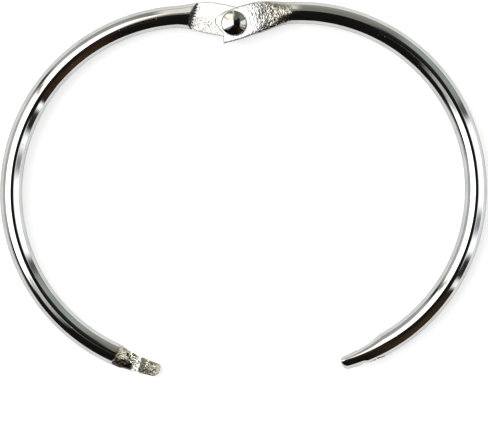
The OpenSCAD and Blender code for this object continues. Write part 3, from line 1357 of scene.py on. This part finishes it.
        known |= {name: strongest(shares) for name, shares in FINISHES.items()}
        tip_end = strongest(dict.fromkeys(("notched", "hooked", "ramped"), 1.0))
        pressed = strongest({name: 1.0 for name in PRESSED if name != "ramp"})
        pressed *= 1 - self.hammered_gloss * known["hammered"]
        known["pressed"] = pressed * (1 - self.tip_gloss * tip_end)
        ridged = strongest({"faced": 1.0, "mated": 1.0})
        ridged *= 1 - self.hammered_ridges * known["hammered"]
        known["ridged"] = np.maximum(ridged, known["notched"])
        azimuth = math.radians(self.ridge_azimuth)
        facing = Vector((math.cos(azimuth), math.sin(azimuth), 0))
        known["ridge"] = points @ np.array(self.place.to_3x3().inverted() @ facing)
        read = {marks.where for marks in self.marks} | set(NickelPlate.reads)
        return {name: known[name] for name in sorted(read)}

    def build(
        self, sweep: WireSweep, press: PressMarks, plate: bpy.types.Material
    ) -> bpy.types.Object:
        """Makes the half ring, with its rivet hole and its press marks.

        Args:
            sweep: Makes the plain wire.
            press: Strikes the marks.
            plate: The finish.

        Returns:
            The piece, in its place.
        """
        wire = self.wire
        ear = self.skin([self.ear_row(s) for s in self.ear_stations()], "wall")
        stations = self.tip_stations()
        tip = self.skin([self.tip_row(t) for t in stations], "face")
        start = wire.turn(self.ear.round_at)
        end = math.pi + wire.turn(self.joint_shift) - wire.turn(stations[-1])
        stretch = sweep.points(wire, start, end, self.wire_stations)
        body = bmesh.new()
        for part in (ear, tip, stretch):
            body.from_mesh(part)
            bpy.data.meshes.remove(part)
        bmesh.ops.remove_doubles(body, verts=body.verts, dist=WELD)
        bmesh.ops.dissolve_degenerate(body, edges=body.edges, dist=WELD)
        bmesh.ops.recalc_face_normals(body, faces=body.faces)
        open_edges = sum(not e.is_manifold for e in body.edges)
        mesh = bpy.data.meshes.new(self.name)
        body.to_mesh(mesh)
        body.free()
        LOG.info("%s: %d points, %d open edges", self.name, len(mesh.vertices), open_edges)
        obj = linked(self.name, mesh)
        self.drill(obj)
        self.lay(obj.data)
        for marks in self.marks:
            press.strike(obj, marks.values(plate))
        obj.data.transform(self.place)
        self.dress(obj, plate)
        return obj

    def drill(self, obj: bpy.types.Object) -> None:
        """Cuts the rivet hole through the ear.

        Args:
            obj: The half ring, before it is moved to its place.
        """
        centre = Vector((0, self.wire.ring_radius + self.hole_out, 0)) * MM
        radius, depth = self.hole_radius * MM, 4 * self.ear.height * MM
        mesh = bpy.data.meshes.new("drill")
        shape = bmesh.new()
        bmesh.ops.create_cone(
            shape, cap_ends=True, segments=self.drill_points, radius1=radius, radius2=radius,
            depth=depth, matrix=Matrix.Translation(centre),
        )
        shape.to_mesh(mesh)
        shape.free()
        tool = linked("drill", mesh)
        hole = obj.modifiers.new("hole", "BOOLEAN")
        hole.operation, hole.object, hole.solver = "DIFFERENCE", tool, "EXACT"
        replace_mesh(obj, applied(obj, hole))
        bpy.data.objects.remove(tool)
        bpy.data.meshes.remove(mesh)

    def dress(self, obj: bpy.types.Object, plate: bpy.types.Material) -> None:
        """Gives the half ring its finish and ties it to its body.

        Args:
            obj: The piece, in its place.
            plate: The finish.
        """
        plate_mesh(obj.data, plate)
        obj.name = obj.data.name = self.name
        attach(obj, self.body)
        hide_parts(self.node)


@dataclass
class HingeRivet:
    """Crowned rivet through both ears. Sizes in millimetres.

    Attributes:
        place: Where the rivet's axis stands.
        head_diameter: Of the crowned head.
        head_height: Of the whole head.
        head_side: Height of the head's straight side.
        head_round: Radius that rolls the side over into the crown.
        head_at: Height of the head's underside.
        crown_shift: Where the crown's highest point lies beside the axis, in x and y.
        shank_diameter: Of the shank.
        tail_diameter: Of the peened tail.
        tail_height: Of the peened tail.
        tail_at: Height of the tail's underside, where it meets the back ear.
        bare_rim: Distances in from the head's edge over which a painted shade darkens it, where the
            head meets the ear.
        bareness: How dark that painted shade is.
        around: Points round the axis.
        crown_points: Points of the outline over the crown, and over the tail.
        roll_points: Points of the outline over the head's rolled side.
    """

    place: Matrix
    head_diameter: float = 3.85
    head_height: float = 0.95
    head_side: float = 0.3
    head_round: float = 0.25
    head_at: float = 1.64
    crown_shift: tuple[float, float] = (0.18, -0.04)
    shank_diameter: float = 2.2
    tail_diameter: float = 3.0
    tail_height: float = 0.4
    tail_at: float = -1.6
    bare_rim: Span = (0.07, 0.02)
    bareness: float = 0.8
    around: int = 128
    crown_points: int = 33
    roll_points: int = 13

    def profile(self) -> np.ndarray:
        """Half outline of the rivet, from the tail's middle to the head's.

        Returns:
            Rows of radius and height.
        """
        head, tail = self.head_diameter / 2, self.tail_diameter / 2
        shank, roll, deep = self.shank_diameter / 2, self.head_round, self.tail_height
        inset, rise = head - roll, self.head_height - self.head_side
        ball = (inset**2 + rise**2 - roll**2) / (2 * (rise - roll))
        edge = math.asin(inset / (ball - roll))
        crown = np.linspace(0, edge, self.crown_points)
        crown = np.stack([ball * np.sin(crown), ball * np.cos(crown) - ball + self.head_height], 1)
        bend = np.linspace(edge, math.pi / 2, self.roll_points)[1:]
        bend = np.stack([inset + roll * np.sin(bend), self.head_side + roll * np.cos(bend)], 1)
        peened = (tail**2 + deep**2) / (2 * deep)
        under = np.linspace(0, math.asin(tail / peened), self.crown_points)
        under = np.stack([peened * np.sin(under), peened - peened * np.cos(under) - deep], 1)
        return np.vstack([
            under + [0, self.tail_at],
            [[shank, self.tail_at], [shank, self.head_at], [head, self.head_at]],
            (np.vstack([crown, bend]) + [0, self.head_at])[::-1],
        ])

    def build(self, plate: bpy.types.Material) -> bpy.types.Object:
        """Makes the rivet.

        Args:
            plate: The finish.

        Returns:
            The piece, in its place.
        """
        body = bmesh.new()
        rings = []
        angles = np.arange(self.around) * 2 * math.pi / self.around
        rolled = self.head_at + self.head_side + self.head_round
        crown_top = self.head_at + self.head_height
        for radius, height in self.profile():
            aside = Vector(self.crown_shift) * eased(height, rolled - self.head_round, crown_top)
            row = [Vector((radius * math.cos(a), radius * math.sin(a))) for a in angles]
            row = row[:1] if radius < TINY else row
            rings.append([body.verts.new((*((point + aside) * MM), height * MM)) for point in row])
        for lower, upper in zip(rings, rings[1:]):
            for i in range(self.around):
                places = ((lower, i), (lower, i + 1), (upper, i + 1), (upper, i))
                corners = [ring[k % len(ring)] for ring, k in places]
                body.faces.new(list(dict.fromkeys(corners)))
        bmesh.ops.recalc_face_normals(body, faces=body.faces)
        mesh = bpy.data.meshes.new("hinge_rivet_dressed")
        body.to_mesh(mesh)
        body.free()
        points = rows_of(mesh, "co") / MM
        write(mesh, "lay", points)
        # a painted shade darkens the head's rim, where the head meets the ear
        in_from_edge = self.head_diameter / 2 - np.hypot(points[:, 0], points[:, 1])
        write(mesh, "sheared", self.bareness * eased(in_from_edge, *self.bare_rim))
        for name in NickelPlate.reads:
            if name != "sheared":
                write(mesh, name, np.zeros(len(points)))
        mesh.transform(self.place)
        plate_mesh(mesh, plate)
        obj = linked("hinge_rivet_dressed", mesh)
        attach(obj, "left_half")
        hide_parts("hinge_rivet")
        return obj


@dataclass(frozen=True)
class Panel:
    """Lit or unlit part of the studio, by its direction from the ring.

    Attributes:
        unit: What one counts for in its numbers.
    """

    unit: ClassVar[float] = 1.0

    @classmethod
    def measures(cls) -> list[str]:
        """Names of its numbers, which are the inputs of its shader group."""
        return [item.name for item in fields(cls) if item.name != "glow"]

    @classmethod
    def started(cls, name: str) -> tuple[NodeTree, dict, bpy.types.Node, list]:
        """Starts the shader group that says which directions such a panel covers.

        Args:
            name: The group's name.

        Returns:
            What node_group returns, and the sockets of the direction's X, Y and Z.
        """
        inputs = {"direction": (0.0, 0.0, 1.0), **dict.fromkeys(cls.measures(), 0.0)}
        nodes, given, result = node_group(name, "ShaderNodeTree", inputs, {"Mask": Socket.NUMBER})
        parts = nodes.add("ShaderNodeSeparateXYZ", {0: given["direction"]}).outputs
        return nodes, given, result, list(parts)

    def inputs(self) -> dict[str, float]:
        """Values for the group's inputs."""
        return {name: getattr(self, name) * self.unit for name in self.measures()}


@dataclass(frozen=True)
class Upright(Panel):
    """One upright screen, wall or unlit gap of the studio, by its direction from the ring.

    Attributes:
        azimuth: Of its middle, in degrees, anticlockwise from +X.
        half_width: Half its width in azimuth.
        top: Nearest to straight overhead, in degrees.
        bottom: Farthest from straight overhead.
        glow: Its light, as a linear colour.
        soft: Width of its soft edges in degrees.
        unit: One degree in radians, which its group counts in.
    """

    azimuth: float
    half_width: float
    top: float
    bottom: float
    glow: Colour
    soft: float = 4.0
    unit: ClassVar[float] = math.radians(1)

    @classmethod
    def group(cls) -> bpy.types.NodeTree:
        """Builds the shader group that says which directions such a panel covers.

        Returns:
            The group, with a mask as its output.
        """
        nodes, given, result, parts = cls.started("upright panel")
        around = nodes.math("ARCTAN2", parts[1], parts[0])
        away = nodes.math("SUBTRACT", around, given["azimuth"])
        away = nodes.math("ABSOLUTE", nodes.math("WRAP", away, math.pi, -math.pi))
        zenith = nodes.math("ARCCOSINE", parts[2])
        rooms = [
            nodes.math("SUBTRACT", given["half_width"], away),
            nodes.math("SUBTRACT", zenith, given["top"]),
            nodes.math("SUBTRACT", given["bottom"], zenith),
        ]
        nodes.fill(result, {"Mask": nodes.inside(rooms, given["soft"])})
        return nodes.tree


@dataclass(frozen=True)
class Overhead(Panel):
    """One soft box under the ceiling. Sizes are shares of its height above the ring.

    Attributes:
        x: Of its middle.
        y: Of its middle.
        half_x: Half its size in X.
        half_y: Half its size in Y.
        glow: Its light, as a linear colour.
        soft: Width of its soft edges.
    """

    x: float
    y: float
    half_x: float
    half_y: float
    glow: Colour
    soft: float = 0.2

    @classmethod
    def group(cls) -> bpy.types.NodeTree:
        """Builds the shader group that says which directions such a box covers.

        Returns:
            The group, with a mask as its output.
        """
        nodes, given, result, parts = cls.started("overhead box")
        rise = nodes.math("MAXIMUM", parts[2], LOWEST_RISE)
        rooms = []
        for part, label in zip(parts, "xy"):
            at = nodes.math("DIVIDE", part, rise)
            away = nodes.math("ABSOLUTE", nodes.math("SUBTRACT", at, given[label]))
            rooms.append(nodes.math("SUBTRACT", given["half_" + label], away))
        above = nodes.math("GREATER_THAN", parts[2], LOWEST_RISE)
        mask = nodes.product(nodes.inside(rooms, given["soft"]), above)
        nodes.fill(result, {"Mask": mask})
        return nodes.tree


@dataclass
class Studio:
    """Floor, soft light and camera.

    Attributes:
        floor_height: Height of the floor in millimetres.
        panels: The soft panels, each laid over the ones before it.
        room: Light of the unlit room.
        floor_half: Half the floor's side in metres.
        paper: Linear colour of the floor.
        lift: Glow that the floor shows besides the light that falls on it.
        white: Linear colour behind the floor, and of its glow.
    """

    floor_height: float
    panels: tuple[Panel, ...]
    room: Colour = (0.012, 0.011, 0.01)
    floor_half: float = 3.0
    paper: Colour = (0.6, 0.6, 0.6)
    lift: float = 0.62
    white: Colour = (1.0, 1.0, 1.0)

    def light(self) -> None:
        """Lights the room with its soft panels."""
        world = bpy.data.worlds.new("studio")
        world.use_nodes = True
        nodes = NodeTree(world.node_tree)
        direction = nodes.add("ShaderNodeTexCoord").outputs["Generated"]
        groups = {kind: kind.group() for kind in (Upright, Overhead)}
        glow: object = (*self.room, 1.0)
        for panel in self.panels:
            mask = nodes.add("ShaderNodeGroup", node_tree=groups[type(panel)])
            nodes.fill(mask, {"direction": direction, **panel.inputs()})
            glow = nodes.blend(mask.outputs["Mask"], glow, (*panel.glow, 1.0))
        seen = nodes.add("ShaderNodeLightPath").outputs["Is Camera Ray"]
        lit = nodes.first("ShaderNodeBackground", {"Color": glow})
        white = nodes.first("ShaderNodeBackground", {"Color": (*self.white, 1.0)})
        both = nodes.first("ShaderNodeMixShader", {0: seen, 1: lit, 2: white})
        nodes.add("ShaderNodeOutputWorld", {"Surface": both})
        bpy.context.scene.world = world

    def floor(self) -> None:
        """Makes the plain pale floor."""
        mesh = bpy.data.meshes.new("floor")
        half, height = self.floor_half, self.floor_height * MM
        corners = [(x * half, y * half, height) for x, y in ((-1, -1), (1, -1), (1, 1), (-1, 1))]
        mesh.from_pydata(corners, [], [(0, 1, 2, 3)])
        obj = linked("floor", mesh)
        made = bpy.data.materials.new("pale floor")
        made.use_nodes = True
        nodes = NodeTree(made.node_tree)
        path = nodes.add("ShaderNodeLightPath").outputs
        shown = nodes.math("MAXIMUM", path["Is Camera Ray"], path["Is Glossy Ray"])
        shown = nodes.math("MAXIMUM", shown, path["Is Transmission Ray"])
        paper = nodes.first("ShaderNodeBsdfDiffuse", {"Color": (*self.paper, 1.0)})
        glow = {"Color": (*self.white, 1.0), "Strength": self.lift}
        glow = nodes.first("ShaderNodeEmission", glow)
        lifted = nodes.first("ShaderNodeAddShader", {0: paper, 1: glow})
        both = nodes.first("ShaderNodeMixShader", {0: shown, 1: paper, 2: lifted})
        nodes.add("ShaderNodeOutputMaterial", {"Surface": both})
        mesh.materials.append(made)

    def camera(self, middle: tuple[float, float], width: float, distance: float) -> None:
        """Makes the camera straight above the ring.

        Args:
            middle: Point in millimetres that the middle of the picture shows.
            width: Width in millimetres that the picture takes in at the ring.
            distance: Distance of the camera in millimetres.
        """
        data = bpy.data.cameras.new("camera")
        data.sensor_width = 36.0
        data.lens = data.sensor_width * distance / width
        data.clip_start, data.clip_end = 0.01, 20.0
        obj = linked("camera", data)
        obj.location = Vector((*middle, distance)) * MM
        bpy.context.scene.camera = obj


def main() -> None:
    """Builds the binder ring and the studio round it."""
    logging.basicConfig(level=logging.INFO, format="%(name)s: %(message)s")
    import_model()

    wire = Wire()
    lean, opened = math.radians(15.2), math.radians(36.8)
    left_hole_out, right_hole_out, swing_fit = -0.15, 0.25, 0.05
    hinge = Matrix.Translation(Vector((0, wire.ring_radius + left_hole_out, 0)) * MM)
    leaned = Matrix.Rotation(-lean, 4, "Z")
    turned_over = leaned @ Matrix.Rotation(math.pi, 4, "Y")
    back = Matrix.Translation(Vector((0, -wire.ring_radius - right_hole_out, 0)) * MM)
    swung = leaned @ hinge @ Matrix.Rotation(opened, 4, "Z") @ back

    rivet = HingeRivet(place=leaned @ hinge)
    shank = rivet.shank_diameter / 2
    streaks, pits = streaks_group(), pits_group()
    nickel, dull, thin = (0.58, 0.585, 0.585), (0.37, 0.385, 0.355), (0.42, 0.42, 0.4)
    sweep, press = WireSweep(), PressMarks()
    marks = (
        Marks("faced", length=0.3, width=0.24, turn=40, spread=7, depth=0.01, seed=3.7),
        Marks("hammered", length=0.42, width=0.14, turn=36, spread=21, depth=0.02, seed=1.3),
        Marks("hammered", length=0.3, width=0.13, turn=-52, spread=8, depth=0.01, seed=2.1),
        Marks("mated", length=0.2, width=0.4, turn=5, spread=3, depth=0.01, seed=2.7),
        Marks("scuffed", length=0.17, width=0.19, turn=30, spread=17, depth=0.01, seed=6.1),
        Marks("notched", length=0.16, width=0.5, turn=10, spread=20, depth=0.02, seed=4.1),
        Marks(
            "hooked", length=0.18, width=0.24, turn=10, spread=27, depth=0.03, seed=9.4,
            lean=5, towards=20,
        ),
        Marks(
            "sunken", length=1.5, width=0.8, turn=10, spread=3, depth=0.15, seed=8.3,
            lean=28, towards=80,
        ),
        Marks("ramped", length=0.2, width=0.3, turn=10, spread=18, depth=0.02, seed=5.7),
        Marks("sheared", length=0.2, width=0.2, turn=0, spread=36, depth=0.0, seed=7.3),
    )
    same = {"tip": SnapTip(), "marks": marks, "wire": wire}
    halves = (
        HalfRing(
            name="left_half_ring", node="left_arm", body="left_half", slot="nickel_left",
            ear=Ear(EarEnd.ROUNDED), hole_out=left_hole_out, hole_radius=shank,
            joint_shift=-0.4, place=turned_over, **same,
        ),
        HalfRing(
            name="right_half_ring", node="right_arm", body="right_half", slot="nickel_right",
            ear=Ear(EarEnd.SHEARED), hole_out=right_hole_out, hole_radius=shank + swing_fit,
            joint_shift=0.4, place=swung, **same,
        ),
    )
    for number, half in enumerate(halves):
        plate = NickelPlate(nickel, thin, offset=5.0 * number).material(half.slot, streaks, pits)
        piece = half.build(sweep, press, plate)
        LOG.info("%s: %d faces", piece.name, len(piece.data.polygons))
    plate = NickelPlate(dull, thin, polished=0.05, offset=11.0)
    piece = rivet.build(plate.material("nickel_rivet", streaks, pits))
    LOG.info("%s: %d faces", piece.name, len(piece.data.polygons))

    studio = Studio(
        floor_height=-2.0,
        # an Upright's azimuth, half width, top, bottom and glow
        # an Overhead's x, y, half x, half y and glow
        panels=(
            Upright(150, 62, 40, 100, (0.64, 0.66, 0.65), soft=14),
            Upright(140, 52, 44, 64, (1.0, 1.0, 0.97), soft=18),
            Upright(110, 24, 52, 100, (0.52, 0.52, 0.49), soft=14),
            Upright(64, 42, 10, 96, (0.31, 0.31, 0.27), soft=8),
            Upright(70, 36, 60, 100, (0.42, 0.42, 0.37), soft=24),
            Upright(42, 13, 18, 80, (0.46, 0.53, 0.48), soft=10),
            Upright(95, 5, 34, 84, (1.25, 1.2, 1.05), soft=5),
            Overhead(-0.79, 0.5, 0.67, 0.4, (2.6, 2.5, 2.2), soft=0.14),
            Overhead(-0.79, -0.14, 0.67, 0.4, (4.2, 4.2, 4.15), soft=0.14),
            Overhead(0.21, -0.12, 0.27, 0.45, (0.012, 0.011, 0.01), soft=0.06),
            Upright(50, 14, 12, 34, (0.03, 0.035, 0.03), soft=8),
            Upright(216, 24, 56, 78, (0.015, 0.015, 0.014), soft=12),
            Upright(264, 56, 6, 84, (0.012, 0.011, 0.01), soft=12),
            Upright(291, 15, 8, 15, (0.085, 0.04, 0.025), soft=5),
            Upright(213, 9, 8, 38, (0.8, 0.8, 0.78), soft=12),
            Upright(312, 15, 24, 88, (0.05, 0.03, 0.016), soft=10),
            Upright(311, 5, 44, 72, (0.08, 0.048, 0.024), soft=10),
            Upright(0, 23, 27, 110, (1.9, 1.95, 2.0), soft=8),
            Upright(350, 4, 30, 84, (0.45, 0.48, 0.46), soft=6),
            Upright(329.8, 1.6, 36, 96, (1.9, 1.9, 1.9), soft=2),
            Upright(335.5, 4, 32, 92, (0.03, 0.032, 0.03), soft=5),
            Upright(26, 2.5, 35, 92, (0.15, 0.17, 0.15)),
            Upright(142, 4, 58, 86, (0.03, 0.035, 0.03), soft=8),
            Upright(144.5, 2, 36, 62, (0.35, 0.35, 0.32)),
            Upright(146, 1.5, 14, 40, (0.85, 0.85, 0.8), soft=3),
        ),
    )
    studio.light()
    studio.floor()
    studio.camera(middle=(8.647, -4.678), width=74.9, distance=700.0)
    bpy.context.scene.view_settings.view_transform = "Standard"
    bpy.context.view_layer.update()


if __name__ == "__main__":
    main()
